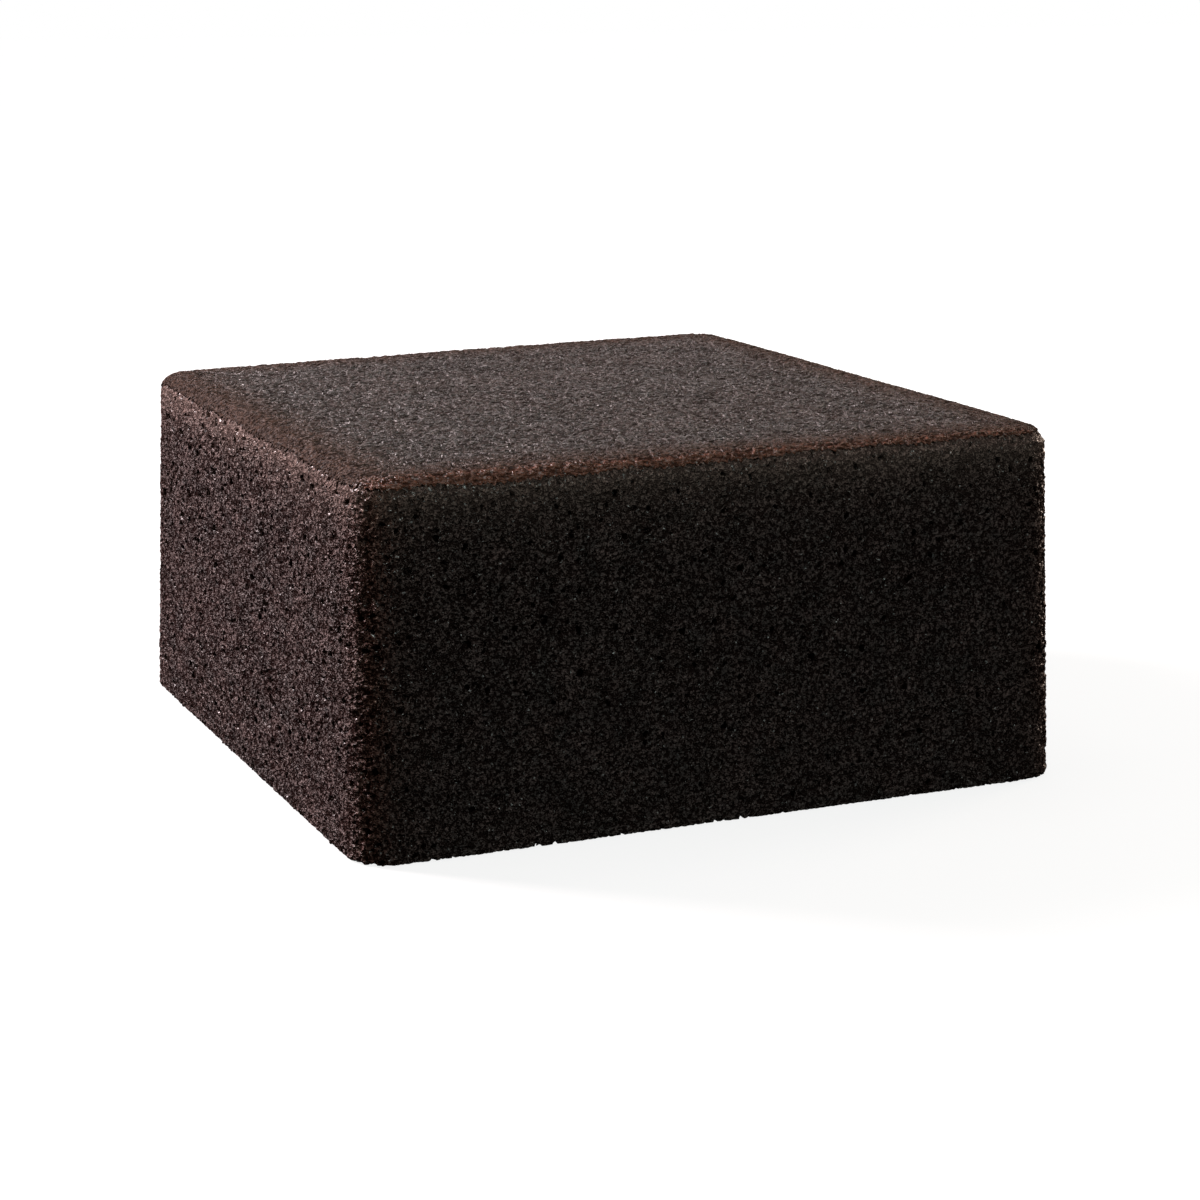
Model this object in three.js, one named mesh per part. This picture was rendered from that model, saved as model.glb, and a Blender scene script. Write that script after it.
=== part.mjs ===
// Square chocolate mud cake, uncut. It was baked in a square tin whose walls flare a little, levelled, and
// turned out upside down: the smooth skin of its underside now faces up, rolls over the rounded top edge
// and ends there in a ragged lip, with bare crumb below it down to a sharp lower edge.
// Millimetres, +Z up. The origin is the middle of the base, the wide dark side looks along -Y, and the
// side that catches the light looks along -X.

import * as THREE from 'three';

// Driving dimensions.
const HALF_WIDTH = 100;             // half the base, along X
const HALF_DEPTH = 100.8;           // half the base, along Y
const HEIGHT = 96.4;
const WALL_LEAN = 3.1;              // each wall leans in by this much from base to top
const UPRIGHT_CORNER_RADIUS = 10.5;
const TOP_EDGE_RADIUS = 5.4;

// The skin on top, and the lip where it ends.
const SKIN_THICKNESS = 0.4;         // its lip stands out from the crumb by this much
const SKIN_END_ANGLE = 50;          // where it ends, in degrees up the rounded top edge
const SKIN_END_WANDER = 11;         // how far that end wanders up and down, in degrees
const SKIN_STEP_ANGLE = 14;         // the stretch over which the lip fades into the crumb
const SKIN_LEFT_REACH = 22;         // how many degrees further down it reaches on the left and front left
const SKIN_LEFT_MIDDLE = 3.6;       // the middle of that stretch, in quarter turns round the cake

// How far the block is out of true.
const WALL_SWELL = 0.5;             // the walls' broad bulges and hollows
const CRUMB_RELIEF = 0.18;          // the crumb's coarse unevenness
const TOP_SWELL = 0.35;             // the top's bumps
const TOP_SHOULDER_DROP = 0.5;      // the top sinks by this much towards its edge
const TOP_SHOULDER_WIDTH = 14;
const SHARPNESS_OF_CORNER_DROP = 8; // the higher, the closer to the corners it sinks by as much again

// Each corner's drift from a true block, at the base and at the top.
const CORNERS = [
  { name: 'front left', across: -1, along: -1, base: [-0.5, 0.4], top: [-0.5, 0.4], lift: 0 },
  { name: 'front right', across: 1, along: -1, base: [0.7, -0.9], top: [0.9, -1.1], lift: -0.5 },
  { name: 'back right', across: 1, along: 1, base: [-2.6, 0.7], top: [-5.2, 1.4], lift: 1.3 },
  { name: 'back left', across: -1, along: 1, base: [1.5, -0.3], top: [1.6, -0.3], lift: -0.5 },
];

// How finely the surface is divided.
const STEPS_PER_SIDE = 26;
const STEPS_PER_CORNER = 6;
const WALL_RINGS = 9;
const EDGE_RINGS = 7;
const TOP_RINGS = 8;

const COLOUR_OF_CRUMB = 0x2a1c17;
const ROUGHNESS_OF_CRUMB = 0.6;

const QUARTER_TURN = Math.PI / 2;
const CORNER_LENGTH = QUARTER_TURN * UPRIGHT_CORNER_RADIUS;
const SIDE_LENGTH = HALF_WIDTH + HALF_DEPTH - 2 * UPRIGHT_CORNER_RADIUS;

function smoothStep(low, high, value) {
  const t = THREE.MathUtils.clamp((value - low) / (high - low), 0, 1);
  return t * t * (3 - 2 * t);
}

// The stations round the cake, anticlockwise from the front left corner: first each corner's arc, then the
// side that runs on from it. A station has its outward direction `turn`, its share `part` of the way along
// the side, and `round`, how far round the whole cake it lies, as an angle.
function stationsRound() {
  const stations = [];
  CORNERS.forEach((corner, index) => {
    const next = CORNERS[(index + 1) % CORNERS.length];
    const firstTurn = Math.PI + index * QUARTER_TURN;
    const roundAt = (length) => QUARTER_TURN * (index + length / (CORNER_LENGTH + SIDE_LENGTH));
    for (let step = 0; step < STEPS_PER_CORNER; step += 1) {
      const share = step / STEPS_PER_CORNER;
      const turn = firstTurn + QUARTER_TURN * share;
      stations.push({ from: corner, to: corner, part: 0, turn, round: roundAt(share * CORNER_LENGTH) });
    }
    for (let step = 0; step < STEPS_PER_SIDE; step += 1) {
      const part = step / STEPS_PER_SIDE;
      const round = roundAt(CORNER_LENGTH + part * SIDE_LENGTH);
      stations.push({ from: corner, to: next, part, turn: firstTurn + QUARTER_TURN, round });
    }
  });
  return stations;
}

// A station's place in the true block of half side 1, drawn in by `inset` millimetres of the rounded edge
// and then shrunk towards the middle to `reach` of that.
function planOf(station, inset, reach) {
  const radius = UPRIGHT_CORNER_RADIUS - inset;
  const across = THREE.MathUtils.lerp(station.from.across, station.to.across, station.part);
  const along = THREE.MathUtils.lerp(station.from.along, station.to.along, station.part);
  const x = across * (HALF_WIDTH - UPRIGHT_CORNER_RADIUS) + radius * Math.cos(station.turn);
  const y = along * (HALF_DEPTH - UPRIGHT_CORNER_RADIUS) + radius * Math.sin(station.turn);
  return [(reach * x) / HALF_WIDTH, (reach * y) / HALF_DEPTH];
}

// The corners' drift at a place in the plan and a share of the height, spread evenly between them.
function driftAt([across, along], rise) {
  const drift = new THREE.Vector3();
  CORNERS.forEach((corner) => {
    const share = ((1 + corner.across * across) * (1 + corner.along * along)) / 4;
    drift.x += share * THREE.MathUtils.lerp(corner.base[0], corner.top[0], rise);
    drift.y += share * THREE.MathUtils.lerp(corner.base[1], corner.top[1], rise);
    drift.z += share * corner.lift * rise;
  });
  return drift;
}

// The wall's broad bulges and the crumb's coarse unevenness: nought at the base, so that it stands flat,
// and nought at the upright corners, which run straight.
function wallUnevenness(station, rise) {
  const { round, part } = station;
  const bulge = 0.6 * Math.sin(5 * round + 0.4) + 0.4 * Math.sin(11 * round + 1.9 + 2 * rise);
  const short = Math.sin(37 * round + 9 * rise) + Math.sin(23 * round - 14 * rise + 0.7);
  const shorter = Math.sin(47 * round + 21 * rise + 2.1) * Math.sin(17 * rise + 1.3);
  const out = WALL_SWELL * bulge + CRUMB_RELIEF * (short + shorter);
  return out * Math.sin(Math.PI * Math.min(rise, 1)) * Math.sin(Math.PI * part);
}

function topUnevenness(x, y) {
  const broad = Math.sin(x / 21 + 1) * Math.cos(y / 17 + 0.3);
  const fine = Math.sin((x + y) / 10 + 2) * Math.cos((x - 2 * y) / 19);
  return TOP_SWELL * (0.6 * broad + 0.4 * fine);
}

// Where the skin ends at this station, in degrees up the rounded edge.
function skinEndAt(round) {
  const wander = 0.45 * Math.sin(13 * round) + 0.35 * Math.sin(31 * round + 1.1) + 0.2 * Math.sin(43 * round);
  const onLeft = smoothStep(-0.5, 0.6, Math.cos(round - SKIN_LEFT_MIDDLE * QUARTER_TURN));
  return SKIN_END_ANGLE + SKIN_END_WANDER * wander - SKIN_LEFT_REACH * onLeft;
}

// A point of the surface. `climb` is millimetres up the wall, `turn` the angle over the rounded edge, nought
// on the wall, and `reach` how far out over the top it lies, from 0 at the middle to 1 at the edge.
function surfacePoint(station, climb, turn, reach) {
  const edgeInset = TOP_EDGE_RADIUS * (1 - Math.cos(turn));
  const wayIn = edgeInset + (1 - reach) * HALF_WIDTH;
  const height = climb + TOP_EDGE_RADIUS * Math.sin(turn);
  const rise = height / HEIGHT;
  const plan = planOf(station, edgeInset, reach);
  const point = driftAt(plan, rise);
  point.x += plan[0] * (HALF_WIDTH - WALL_LEAN * rise);
  point.y += plan[1] * (HALF_DEPTH - WALL_LEAN * rise);
  point.z += height;

  const skinEnd = skinEndAt(station.round);
  const skin = smoothStep(skinEnd - SKIN_STEP_ANGLE, skinEnd, THREE.MathUtils.radToDeg(turn));
  const nearEdge = 1 - smoothStep(0, TOP_SHOULDER_WIDTH, wayIn);
  const out = (1 - skin) * wallUnevenness(station, rise) + skin * nearEdge * SKIN_THICKNESS;
  const drop = TOP_SHOULDER_DROP * (1 + (plan[0] * plan[1]) ** SHARPNESS_OF_CORNER_DROP);
  const up = (1 - nearEdge) * topUnevenness(point.x, point.y) - nearEdge * drop;
  point.x += out * Math.cos(turn) * Math.cos(station.turn);
  point.y += out * Math.cos(turn) * Math.sin(station.turn);
  point.z += (out + up) * Math.sin(turn);
  return point;
}

// The rings from the base up the wall, over the rounded edge and in over the top.
function ringsUp() {
  const wallTop = HEIGHT - TOP_EDGE_RADIUS;
  const rings = [];
  for (let ring = 0; ring < WALL_RINGS; ring += 1) {
    rings.push({ climb: (wallTop * ring) / WALL_RINGS, turn: 0, reach: 1 });
  }
  for (let ring = 0; ring <= EDGE_RINGS; ring += 1) {
    rings.push({ climb: wallTop, turn: (QUARTER_TURN * ring) / EDGE_RINGS, reach: 1 });
  }
  for (let ring = TOP_RINGS - 1; ring > 0; ring -= 1) {
    rings.push({ climb: wallTop, turn: QUARTER_TURN, reach: ring / TOP_RINGS });
  }
  return rings;
}

function cakeGeometry() {
  const stations = stationsRound();
  const count = stations.length;
  const rings = ringsUp();
  const points = [];
  rings.forEach(({ climb, turn, reach }) => {
    stations.forEach((station) => points.push(surfacePoint(station, climb, turn, reach)));
  });

  const faces = [];
  for (let ring = 0; ring < rings.length - 1; ring += 1) {
    for (let step = 0; step < count; step += 1) {
      const next = (step + 1) % count;
      const [low, lowNext] = [ring * count + step, ring * count + next];
      faces.push(low, lowNext, lowNext + count);
      faces.push(low, lowNext + count, low + count);
    }
  }
  const lastRing = (rings.length - 1) * count;
  const topMiddle = points.length;
  points.push(middleOf(points.slice(lastRing, lastRing + count)));
  const baseMiddle = points.length;
  points.push(new THREE.Vector3(0, 0, 0));
  for (let step = 0; step < count; step += 1) {
    const next = (step + 1) % count;
    faces.push(lastRing + step, lastRing + next, topMiddle);
    faces.push(next, step, baseMiddle);
  }

  const geometry = new THREE.BufferGeometry().setFromPoints(points);
  geometry.setIndex(faces);
  geometry.computeBoundingBox();
  const middle = geometry.boundingBox.getCenter(new THREE.Vector3());
  geometry.translate(-middle.x, -middle.y, 0);
  geometry.computeVertexNormals();
  return geometry;
}

function middleOf(points) {
  const sum = points.reduce((total, point) => total.add(point), new THREE.Vector3());
  return sum.divideScalar(points.length);
}

const mudCake = new THREE.Mesh(
  cakeGeometry(),
  new THREE.MeshStandardMaterial({
    color: COLOUR_OF_CRUMB,
    roughness: ROUGHNESS_OF_CRUMB,
    metalness: 0,
  }),
);
mudCake.name = 'mud_cake';

const cake = new THREE.Group();
cake.add(mudCake);

export default cake;
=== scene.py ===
"""Square chocolate mud cake, uncut: bare, finely pored crumb walls under a smooth dark skin.

The cake's block is worked out in millimetres, by the same rules as its solid, and set on the solid's
box. Geometry Nodes then give it its surface: pores and grain on the walls and underneath,
wrinkles, slits and a torn lip on the skin, and loose crumbs round its foot and under the lip.
"""

import math

import bpy
import numpy as np
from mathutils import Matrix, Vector


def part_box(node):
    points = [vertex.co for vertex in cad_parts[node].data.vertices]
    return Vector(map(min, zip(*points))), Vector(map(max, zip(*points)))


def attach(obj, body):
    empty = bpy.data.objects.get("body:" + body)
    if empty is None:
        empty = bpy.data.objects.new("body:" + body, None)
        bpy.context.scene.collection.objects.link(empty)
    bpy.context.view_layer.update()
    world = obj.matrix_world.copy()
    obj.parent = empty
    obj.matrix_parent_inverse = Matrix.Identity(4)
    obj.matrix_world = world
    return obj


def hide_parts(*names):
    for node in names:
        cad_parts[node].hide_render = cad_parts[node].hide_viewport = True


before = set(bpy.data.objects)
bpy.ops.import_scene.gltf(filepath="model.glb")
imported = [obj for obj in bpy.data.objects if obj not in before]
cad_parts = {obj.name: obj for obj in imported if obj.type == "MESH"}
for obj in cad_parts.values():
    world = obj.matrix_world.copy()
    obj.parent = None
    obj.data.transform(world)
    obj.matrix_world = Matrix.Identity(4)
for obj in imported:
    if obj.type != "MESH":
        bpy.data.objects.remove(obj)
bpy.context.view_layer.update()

NODE = "mud_cake"
MM = 0.001  # one millimetre in Blender's metres; a size that is not made with it is in millimetres
QUARTER = math.pi / 2

# ---------------------------------------------------------------- sizes of the block
HALF_WIDTH = 100.0
HALF_DEPTH = 100.8
HEIGHT = 96.4
WALL_LEAN = 3.1  # each wall leans in by this much from base to top
UPRIGHT_CORNER_RADIUS = 10.5
TOP_EDGE_RADIUS = 5.4
FOOT_RADIUS = 0.7

WALL_SWELL = 0.5  # the walls' broad bulges and hollows
CRUMB_RELIEF = 0.18  # the crumb's coarse unevenness
TOP_SWELL = 0.35  # the top's bumps
TOP_SHOULDER_DROP = 0.5  # the top sinks by this much towards its edge
TOP_SHOULDER_WIDTH = 14.0
SHARPNESS_OF_CORNER_DROP = 8  # the higher, the closer to the corners it sinks by as much again

# Each corner: its side across and along, its drift at the base and at the top, and its lift.
CORNERS = (
    (-1, -1, (-0.5, 0.4), (-0.5, 0.4), 0.0),
    (1, -1, (0.7, -0.9), (0.9, -1.1), -0.5),
    (1, 1, (-2.6, 0.7), (-5.2, 1.4), 1.3),
    (-1, 1, (1.5, -0.3), (1.6, -0.3), -0.5),
)
WALLS = ("front", "right", "back", "left")  # each runs on from the corner of the same number

CORNER_LENGTH = QUARTER * UPRIGHT_CORNER_RADIUS
SIDE_LENGTH = HALF_WIDTH + HALF_DEPTH - 2 * UPRIGHT_CORNER_RADIUS
QUARTER_LENGTH = CORNER_LENGTH + SIDE_LENGTH  # a corner and the side that runs on from it
HALF_CORNER = 0.5 * CORNER_LENGTH / QUARTER_LENGTH  # as a share of a quarter turn
WALL_TOP = HEIGHT - TOP_EDGE_RADIUS

# ---------------------------------------------------------------- sizes of the skin
SKIN_THICKNESS = 0.4  # it stands out from the crumb by this much
SKIN_END_ANGLE = 50.0  # where it ends, in degrees up the rounded top edge
SKIN_END_WANDER = 8.0  # how far that end wanders up and down, in degrees
SKIN_LEFT_REACH = 22.0  # how many degrees further down it reaches on the left and front left
SKIN_LEFT_MIDDLE = 3.6  # the middle of that stretch, in quarter turns round the cake
SKIN_TEAR = 1.6  # how far each of the fine waves tears its end, in degrees
# The fine waves: how many lie round the cake, and each one's start.
TEAR_WAVES = ((139, 2.0), (193, 5.3), (251, 4.1), (317, 0.9), (389, 1.2), (461, 5.0), (557, 3.1), (641, 0.4))
LIP_THINNING = 0.4  # the share of its thickness that it loses by its torn end
LIP_TUCK = 2.2 * SKIN_THICKNESS  # how deep the torn end turns in behind itself
LIP_TUCK_RISE = 0.25

SKIN_LINE = math.radians(-24)  # the line of its crinkles and slits, turned from the cake's width
CRINKLE_DRAW_OUT = 1.4  # how many times longer the crinkles are along that line than across it
CRINKLE_CLOSENESS = 2.5  # how many times closer they lie down the rounded edge than on the top
EDGE_BROWNING = 26.0  # how far in from its edge the skin is browner
WRINKLE_SIZE = 5 * MM
FOLD_SIZE = 2.0 * MM  # the crinkles are narrow folds with a grain on them
FOLD_GRAIN_SIZE = 1.3 * MM
FOLD_GRAIN = 1.2
FOLD_WIDTH = 0.12  # as a height of the noise whose middle the folds follow
FOLD_HEIGHTS = (0.6, -0.4)  # along the middle of a fold, and between the folds
FOLD_WOBBLE = (3 * MM, 2 * MM)  # the size of the bends in them, and how far out they go

# Each slit's middle, its length and how far it arches, on the flat top.
SLITS = (
    (-35.9, 50.6, 8.0, 1.3),
    (-73.7, -15.6, 3.5, 0.3),
    (-59.6, -16.5, 5.0, 0.5),
    (-50.0, -75.6, 3.0, 0.2),
    (54.9, 31.9, 3.2, 0.3),
    (12.7, -66.1, 3.0, -0.2),
    (12.9, -77.9, 2.6, 0.2),
    (41.7, -61.5, 3.4, 0.3),
    (88.2, 58.8, 2.8, 0.2),
    (-9.0, -6.0, 2.4, 0.2),
    (-2.0, -22.0, 2.8, -0.2),
    (-14.0, -30.0, 2.2, 0.2),
    (-42.0, -38.0, 2.6, 0.3),
)
SLIT_HALF_WIDTH = 0.75
SLIT_FADE = (0.85, 1.15)  # it fades out between these shares of its half length
SLIT_THINNEST = 0.01  # the least share that the square of its width shrinks to

# ---------------------------------------------------------------- sizes of the crumb
PORE_DRAW_OUT = 1.8  # how many times longer the pores are from front to back than across
# The pores: how far apart they lie, and their smallest and largest radius.
LARGE_PORES = (5.0 * MM, 0.65 * MM, 1.3 * MM)
MIDDLE_PORES = (2.5 * MM, 0.45 * MM, 0.9 * MM)
FINE_PORES = (1.3 * MM, 0.3 * MM, 0.55 * MM)
SHARE_OF_MIDDLE_PORES = 0.8
SHARE_OF_FINE_PORES = 0.6
SHARE_OF_LARGE_PORES_UNDERNEATH = 0.8
PORE_WOBBLE = (1.6 * MM, 1.3 * MM)  # the size of the bends in their outlines, and how far out those go
CRUMB_SWELL_SIZE = 9 * MM
CRUMB_GRAIN_SIZE = 1.0 * MM
LUMP_SIZE = 1.3 * MM  # of the lumps that gaps part at the upright corners
LUMP_EDGE = (0.35, 0.75)  # a gap deepens between these shares of that size from a lump's middle
TOP_FALL_OFF = 6.0  # how far down from the top the crumb is finer and moister, and paler with painted light from above
CORNER_FALL_OFF = 5.5  # how far round from an upright corner's middle it is coarser, and browner with baked browning and a painted glow of light
FINER_AT_TOP = 0.6
COARSER_AT_CORNERS = 0.4
LOOSE_LUMP_SIZE = 0.6 * MM
LOOSE_CRUMBS_SMALL = 2.5  # the higher, the more of the loose crumbs are small

# The ground of the loose crumbs, ring by ring: its height up the wall, its degrees over the rounded edge,
# and how thickly they lie there.
GROUND_ROWS = (
    (0.3, 0, 1.0),
    (1.0, 0, 0.6),
    (2.2, 0, 0.1),
    (5.0, 0, 0.01),
    (20.0, 0, 0.0),
    (40.0, 0, 0.0),
    (60.0, 0, 0.0),
    (80.0, 0, 0.0),
    (88.0, 0, 0.004),
    (WALL_TOP, 0, 0.01),
    (WALL_TOP, 20, 0.03),
    (WALL_TOP, 40, 0.03),
)

# ---------------------------------------------------------------- how finely the pieces are made
PANELS = {"front": 2, "right": 1, "back": 1, "left": 2}  # finer on the two walls that are looked at most
PANEL_COLUMNS = {1: 420, 2: 305}  # for each panel of a wall that has one, and of a wall that has two
WALL_ROWS = {1: 206, 2: 284}
EDGE_ROWS = {1: 14, 2: 19}
FOOT_ROWS = 4
SKIN_RINGS = 262
LIP_RINGS = 16
BASE_RINGS = 80
GROUND_COLUMNS = 480
PLAN_STEPS = 4000
ROUNDING = 1e-9  # keeps an angle at a corner's start on that corner
SEED_STRIDE = 0.731  # how far each seed moves a pattern, in metres

# ---------------------------------------------------------------- how the pieces close inside the cake
WALL_END_ANGLE = 72.0  # the walls run on under the skin, up to this angle over the rounded edge
UNDER_SKIN = 1.5 * SKIN_THICKNESS  # how deep they lie there
UNDER_SKIN_STRETCH = 0.3  # the stretch over which they get there, in radians
WALL_TUCK = ((2.6, 0.9), (1.1, 0.0))  # the rows that run on under the cake: how far in, and how high
BASE_INSET = 1.5  # from the feet of the walls to the underside's edge
BASE_RISE = 0.15
BASE_TIP = 12.0  # how high in the cake the underside's faces meet
SKIN_TIP = 14.0  # how far below the top the skin's faces meet
HIDDEN_STRIP = 0.02  # the share of a piece's map that its faces inside the cake lie in
STRIP_MARGIN = 0.1  # how much of that strip stays bare on either side

# ---------------------------------------------------------------- finishes
NOISE_SPAN = (0.3, 0.7)  # smooth noise mostly lies between these
SPECK_THRESHOLD = (0.72, 0.32)  # the noise it takes for a speck, for a share of nought and of one
SPECK_SOFTNESS = 0.1

CRUMB_DARK = (0.096, 0.073, 0.069, 1)
CRUMB_LIGHT = (0.19, 0.122, 0.113, 1)
# Browner at the upright corners: partly baked browning, partly a painted warm glow of light scattered in the
# crumb
CRUMB_BAKED_AND_GLOW = (0.21, 0.083, 0.056, 1)
# Painted light: the crumb near the top, paler as if lit from above
CRUMB_TOP_LIT = (0.62, 0.4, 0.32, 1)
# Painted shade: the colour in the pits and gaps, and in the deepest pores
CRUMB_PIT_SHADE = (0.0085, 0.0034, 0.0028, 1)
CRUMB_DEEP_SHADE = (0.002, 0.0007, 0.0006, 1)
CRUMB_PATCH = 6 * MM
CRUMB_CELL = 1.25 * MM
CRUMB_GRAIN = 0.45 * MM
CRUMB_SPECK = 0.7 * MM
CRUMB_SPECK_SHARE = 0.6
CRUMB_GRAIN_WOBBLE = (0.8 * MM, 0.7 * MM)
CRUMB_CELL_EDGE = (0.65, 0.2)  # a lump rises between these shares of a cell from its middle
SHARE_OF_LUMPS = 0.4  # in the grain's height; the rest is noise
GAP_SHADE_HEIGHTS = (0.82, 0.34)  # heights of the grain: where the painted shade in a gap begins, and where it is darkest
GAP_SHADE_STRENGTH = 0.95
PIT_SHADE_DEPTHS = (0.0, 0.55)  # between these depths, in millimetres, the crumb takes on painted shade in its pits
DEEP_SHADE_DEPTHS = (0.6, 1.3)  # and between these the darkest painted shade, in the deepest pores
PIT_SHADE_AT_TOP = 0.55  # how strong the painted shade in the pits still is near the top
CRUMB_BUMP = 1.3 * MM
CRUMB_ROUGHNESS = (0.34, 0.95)  # on the lumps, and in the pores and gaps
CRUMB_GLOSS = (0.6, 0.0)
CRUMB_DULL = 0.9  # it has lost its gloss where its painted shade is as dark as this
CRUMB_COAT_ROUGHNESS = 0.27
# how strongly the browning and the painted glow show at the corners
BAKED_AND_GLOW_AT_CORNERS = 0.8
# how strongly the painted light shows near the top
LIT_AT_TOP = 0.9
MOIST = 0.6
MOISTER_AT_CORNERS = 1.5

SKIN_DARK = (0.047, 0.035, 0.03, 1)
SKIN_LIGHT = (0.073, 0.052, 0.045, 1)
SKIN_BROWN = (0.066, 0.032, 0.019, 1)
# Painted light: the skin where it rolls over the front edge, lighter and redder
SKIN_ROLLED_LIT = (0.18, 0.068, 0.04, 1)
# Painted shade in the skin's creases and slits
SKIN_CREASE_SHADE = (0.006, 0.003, 0.0024, 1)
SLIT_SHADE = (0.003, 0.0015, 0.001, 1)
SKIN_PATCH = 22 * MM
SKIN_GRAIN = 1.0 * MM
SKIN_SPECK = 0.9 * MM
SKIN_SPECK_SHARE = 0.45
SKIN_GRAIN_WOBBLE = (1.6 * MM, 1.0 * MM)
SKIN_BUMP = 1.0 * MM
SKIN_ROUGHNESS = (0.32, 0.65)  # on the smooth skin, and in its creases and near its edge
SKIN_GLOSS = (0.5, 0.05)
SKIN_COAT_ROUGHNESS = 0.3
SKIN_MOIST = 0.05  # where it lies flat; where it rolls over the edge it is moister
ROLL_LIGHTING = (0.1, 0.5)  # painted light: it turns lighter and redder as its way out comes to lean this far to the front
ROLL_GLOSSY = 0.6  # rolled as far as this, it is no longer dull
EDGE_DULLNESS = 0.8
CREASE_SHADE_HEIGHTS = (0.15, -0.35)  # of the crinkles: where the painted shade of a crease begins, and where it is darkest
FINE_CREASE_SHADE_HEIGHTS = (0.47, 0.34)  # the same for the finer noise on them
# how strong the painted shade is in the fine creases and in the crinkles' creases
FINE_CREASE_SHADE = 0.8
CREASE_SHADE_STRENGTH = 0.75
SLIT_SHADING = (0.15, 0.7)  # painted shade: it darkens between these shares of a slit's depth
CRINKLES_IN_BUMP = 0.5

# ---------------------------------------------------------------- camera, light and floor, in metres
CAMERA_PLACE = (-0.30894, -0.71295, 0.22005)
CAMERA_TURN = 23.975  # degrees from straight ahead towards +X
CAMERA_DIP = 13.267  # degrees down
SENSOR = 36  # millimetres
LENS = 83.28

CAKE_MIDDLE = (0, 0, 0.06)
CAKE_TOP = (0, 0, 0.09)
# Each light's place, what it is aimed at, its width and height, its power and its colour.
LIGHTS = {
    "key from behind left": ((-0.88, 0.86, 0.75), CAKE_MIDDLE, (0.4, 0.4), 40, (1, 0.85, 0.87)),
    "warm light from the left": ((-1.4, -0.06, 0.35), CAKE_MIDDLE, (0.3, 0.3), 2.5, (1, 0.72, 0.58)),
    "sheen from behind": ((0.5, 1.6, 0.55), CAKE_TOP, (2.0, 0.35), 2.9, (1, 0.97, 0.97)),
    "softbox overhead": ((0, 0.1, 1.3), CAKE_MIDDLE, (0.9, 0.7), 4.3, (1, 0.97, 0.95)),
    "fill in front": ((-0.1, -1.4, 0.75), CAKE_MIDDLE, (0.3, 0.3), 6.5, (0.83, 1, 0.95)),
    "rim on the right": ((1.3, 0.35, 0.35), CAKE_MIDDLE, (0.5, 0.8), 8, (1, 0.8, 0.66)),
}
EVEN_LIGHT = 0.01
FLOOR_HALF = 6.0
FLOOR_LEVEL = -0.2 * MM
FLOOR_WHITENING = (0.12, 0.5)  # it turns white between these distances from the cake's middle
FLOOR_NEAR_GLOW = (0.84, 0.84, 0.84, 1)
FLOOR_GREY = (0.2, 0.2, 0.2, 1)
WHITE = (1, 1, 1, 1)


def smooth_step(low, high, value):
    share = np.clip((value - low) / (high - low), 0.0, 1.0)
    return share * share * (3 - 2 * share)


# ---------------------------------------------------------------- the block's surface
def station(round_angle):
    """The plan at an angle round the cake, anticlockwise from the front left corner.

    Gives the place in a block of half side 1 that the corner's arc or the side is drawn about, the way
    out as an angle, and the share of the side that is passed.
    """
    quarters = round_angle / QUARTER
    index = np.floor(quarters + ROUNDING).astype(int)
    length = (quarters - index) * QUARTER_LENGTH
    on_corner = length < CORNER_LENGTH
    part = np.where(on_corner, 0.0, (length - CORNER_LENGTH) / SIDE_LENGTH)
    turn = math.pi + QUARTER * (index + np.where(on_corner, length / CORNER_LENGTH, 1.0))
    signs = np.array([corner[:2] for corner in CORNERS], float)
    here, after = signs[index % 4], signs[(index + 1) % 4]
    return here + (after - here) * part[..., None], turn, part


def drift_at(across, along, rise):
    """How far the four corners carry a place of the plan with them, at a share of the height."""
    drift = np.zeros(across.shape + (3,))
    for side_x, side_y, base, top, lift in CORNERS:
        share = (1 + side_x * across) * (1 + side_y * along) / 4
        drift[..., 0] += share * (base[0] + (top[0] - base[0]) * rise)
        drift[..., 1] += share * (base[1] + (top[1] - base[1]) * rise)
        drift[..., 2] += share * lift * rise
    return drift


def wall_unevenness(round_angle, part, rise):
    """The wall's broad bulges and coarse unevenness: nought at the base and at the upright corners."""
    bulge = 0.6 * np.sin(5 * round_angle + 0.4) + 0.4 * np.sin(11 * round_angle + 1.9 + 2 * rise)
    short = np.sin(37 * round_angle + 9 * rise) + np.sin(23 * round_angle - 14 * rise + 0.7)
    shorter = np.sin(47 * round_angle + 21 * rise + 2.1) * np.sin(17 * rise + 1.3)
    out = WALL_SWELL * bulge + CRUMB_RELIEF * (short + shorter)
    return out * np.sin(math.pi * np.minimum(rise, 1)) * np.sin(math.pi * part)


def top_unevenness(x, y):
    broad = np.sin(x / 21 + 1) * np.cos(y / 17 + 0.3)
    fine = np.sin((x + y) / 10 + 2) * np.cos((x - 2 * y) / 19)
    return TOP_SWELL * (0.6 * broad + 0.4 * fine)


def skin_end(round_angle):
    """Where the skin ends, in radians up the rounded edge: a slow wander with fine tears on it."""
    wander = 0.45 * np.sin(13 * round_angle) + 0.35 * np.sin(31 * round_angle + 1.1)
    wander = wander + 0.2 * np.sin(43 * round_angle)
    tears = sum(np.sin(waves * round_angle + start) for waves, start in TEAR_WAVES)
    on_left = smooth_step(-0.5, 0.6, np.cos(round_angle - SKIN_LEFT_MIDDLE * QUARTER))
    degrees = SKIN_END_ANGLE + SKIN_END_WANDER * wander + SKIN_TEAR * tears - SKIN_LEFT_REACH * on_left
    return np.radians(degrees)


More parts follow.
